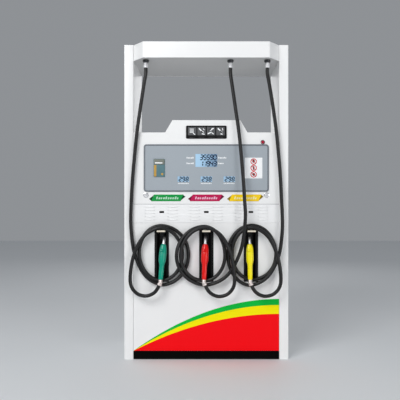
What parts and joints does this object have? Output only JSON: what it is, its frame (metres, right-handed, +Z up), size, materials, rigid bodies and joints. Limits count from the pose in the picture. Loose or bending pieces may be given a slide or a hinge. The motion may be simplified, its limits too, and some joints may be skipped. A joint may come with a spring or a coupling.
{
  "type": "fuel dispenser",
  "caption": "Upright fuel dispenser with two side columns, top beam, electronics head, nozzle boots, hanging hoses and tilting nozzles.",
  "frame": {"origin": "centre of the cabinet footprint, on the underside of the base frame, where it stands on the island", "axes": "+Z up, +X to the right of someone facing the displays, +Y from the front face to the rear door"},
  "size_m": [1.15, 0.678, 2.2],
  "materials": {
    "white_enamel": "smooth baked enamel, satin gloss",
    "grey_enamel": "light grey baked enamel, satin",
    "black_enamel": "black enamel, low gloss",
    "bezel_plastic": "fine-grained moulded plastic",
    "display_face": "printed polycarbonate sheet",
    "liquid_crystal": "backlit liquid crystal behind a clear window",
    "reader_plastic": "moulded plastic",
    "black_plastic": "black moulded plastic",
    "dark_plastic": "dark grey moulded plastic",
    "stop_red": "glossy crimson moulding",
    "bright_metal": "polished plating",
    "instrument_box": "grey moulded enclosure",
    "cream_enamel": "cream enamel on bent steel",
    "hose_rubber": "extruded rubber hose, slightly shiny",
    "swivel_metal": "satin plated swivel",
    "nozzle_green": "vinyl cover over a cast body",
    "nozzle_red": "vinyl cover over a cast body",
    "nozzle_yellow": "vinyl cover over a cast body",
    "meter_casting": "sand-cast, unpainted",
    "pipe_steel": "plain steel tube"
  },
  "bodies": {
    "cabinet": {"base_frame": "black_enamel", "beam_cover": "white_enamel", "beam_soffit": "grey_enamel", "boot_1": "black_plastic", "boot_2": "black_plastic", "boot_3": "black_plastic", "card_reader": "reader_plastic", "control_box": "instrument_box", "display_bezel": "bezel_plastic", "display_plate": "display_face", "flow_meter_1": "meter_casting", "flow_meter_2": "meter_casting", "flow_meter_3": "meter_casting", "front_plinth": "black_enamel", "head_casing": "white_enamel", "head_panel": "white_enamel", "hose_1": "hose_rubber", "hose_2": "hose_rubber", "hose_3": "hose_rubber", "hose_outlet_1": "bright_metal", "hose_outlet_2": "bright_metal", "hose_outlet_3": "bright_metal", "hose_saddle_1": "cream_enamel", "hose_saddle_2": "cream_enamel", "hose_saddle_3": "cream_enamel", "left_column": "white_enamel", "lower_panel": "white_enamel", "nozzle_swivel_1": "swivel_metal", "nozzle_swivel_2": "swivel_metal", "nozzle_swivel_3": "swivel_metal", "pictogram_panel": "black_plastic", "price_display_1": "liquid_crystal", "price_display_2": "liquid_crystal", "price_display_3": "liquid_crystal", "rear_plinth": "black_enamel", "right_column": "white_enamel", "riser_pipe_1": "pipe_steel", "riser_pipe_2": "pipe_steel", "riser_pipe_3": "pipe_steel", "sale_display": "liquid_crystal", "vent_panel": "grey_enamel"},
    "nozzle_1": {"nozzle_body_1": "nozzle_green", "nozzle_spout_1": "bright_metal"},
    "lever_1": {"nozzle_lever_1": "dark_plastic"},
    "switch_1": {"boot_switch_1": "dark_plastic"},
    "nozzle_2": {"nozzle_body_2": "nozzle_red", "nozzle_spout_2": "bright_metal"},
    "lever_2": {"nozzle_lever_2": "dark_plastic"},
    "switch_2": {"boot_switch_2": "dark_plastic"},
    "nozzle_3": {"nozzle_body_3": "nozzle_yellow", "nozzle_spout_3": "bright_metal"},
    "lever_3": {"nozzle_lever_3": "dark_plastic"},
    "switch_3": {"boot_switch_3": "dark_plastic"},
    "stop": {"stop_button": "stop_red"},
    "left_key": {"left_lock": "bright_metal"},
    "right_key": {"right_lock": "bright_metal"},
    "door": {"rear_door": "white_enamel"},
    "handle": {"door_handle": "bright_metal"}
  },
  "joints": [
    {"name": "nozzle_1_tilt", "type": "hinge", "parent": "cabinet", "child": "nozzle_1", "pos_m": [-0.31577, -0.345, 0.54831], "axis": [1, 0, 0], "range_deg": [0, 35]},
    {"name": "lever_1_squeeze", "type": "hinge", "parent": "nozzle_1", "child": "lever_1", "pos_m": [-0.30684, -0.27959, 0.66723], "axis": [-0.9976, 0.0109, 0.0689], "range_deg": [0, 14], "stiffness_Nm_per_rad": 1},
    {"name": "switch_1_press", "type": "hinge", "parent": "cabinet", "child": "switch_1", "pos_m": [-0.312, -0.202, 0.883], "axis": [1, 0, 0], "range_deg": [0, 15], "stiffness_Nm_per_rad": 0.2},
    {"name": "nozzle_2_tilt", "type": "hinge", "parent": "cabinet", "child": "nozzle_2", "pos_m": [-0.01623, -0.345, 0.54831], "axis": [1, 0, 0], "range_deg": [0, 35]},
    {"name": "lever_2_squeeze", "type": "hinge", "parent": "nozzle_2", "child": "lever_2", "pos_m": [-0.01176, -0.27955, 0.66747], "axis": [-0.9994, 0.0055, 0.0345], "range_deg": [0, 14], "stiffness_Nm_per_rad": 1},
    {"name": "switch_2_press", "type": "hinge", "parent": "cabinet", "child": "switch_2", "pos_m": [0, -0.202, 0.883], "axis": [1, 0, 0], "range_deg": [0, 15], "stiffness_Nm_per_rad": 0.2},
    {"name": "nozzle_3_tilt", "type": "hinge", "parent": "cabinet", "child": "nozzle_3", "pos_m": [0.30177, -0.345, 0.54831], "axis": [1, 0, 0], "range_deg": [0, 35]},
    {"name": "lever_3_squeeze", "type": "hinge", "parent": "nozzle_3", "child": "lever_3", "pos_m": [0.30177, -0.27954, 0.66754], "axis": [-1, 0, 0], "range_deg": [0, 14], "stiffness_Nm_per_rad": 1},
    {"name": "switch_3_press", "type": "hinge", "parent": "cabinet", "child": "switch_3", "pos_m": [0.312, -0.202, 0.883], "axis": [1, 0, 0], "range_deg": [0, 15], "stiffness_Nm_per_rad": 0.2},
    {"name": "stop_press", "type": "slide", "parent": "cabinet", "child": "stop", "axis": [0, 1, 0], "range_m": [0, 0.004], "stiffness_N_per_m": 300},
    {"name": "left_key_turn", "type": "hinge", "parent": "cabinet", "child": "left_key", "pos_m": [-0.422, -0.27, 1.149], "axis": [0, 1, 0], "range_deg": [0, 90]},
    {"name": "right_key_turn", "type": "hinge", "parent": "cabinet", "child": "right_key", "pos_m": [0.422, -0.27, 1.149], "axis": [0, 1, 0], "range_deg": [0, 90]},
    {"name": "door_swing", "type": "hinge", "parent": "cabinet", "child": "door", "pos_m": [0.494, 0.259, 0.0605], "axis": [0, 0, -1], "range_deg": [0, 100]},
    {"name": "handle_turn", "type": "hinge", "parent": "door", "child": "handle", "pos_m": [-0.45, 0.27, 0.5725], "axis": [0, 1, 0], "range_deg": [0, 90]}
  ]
}
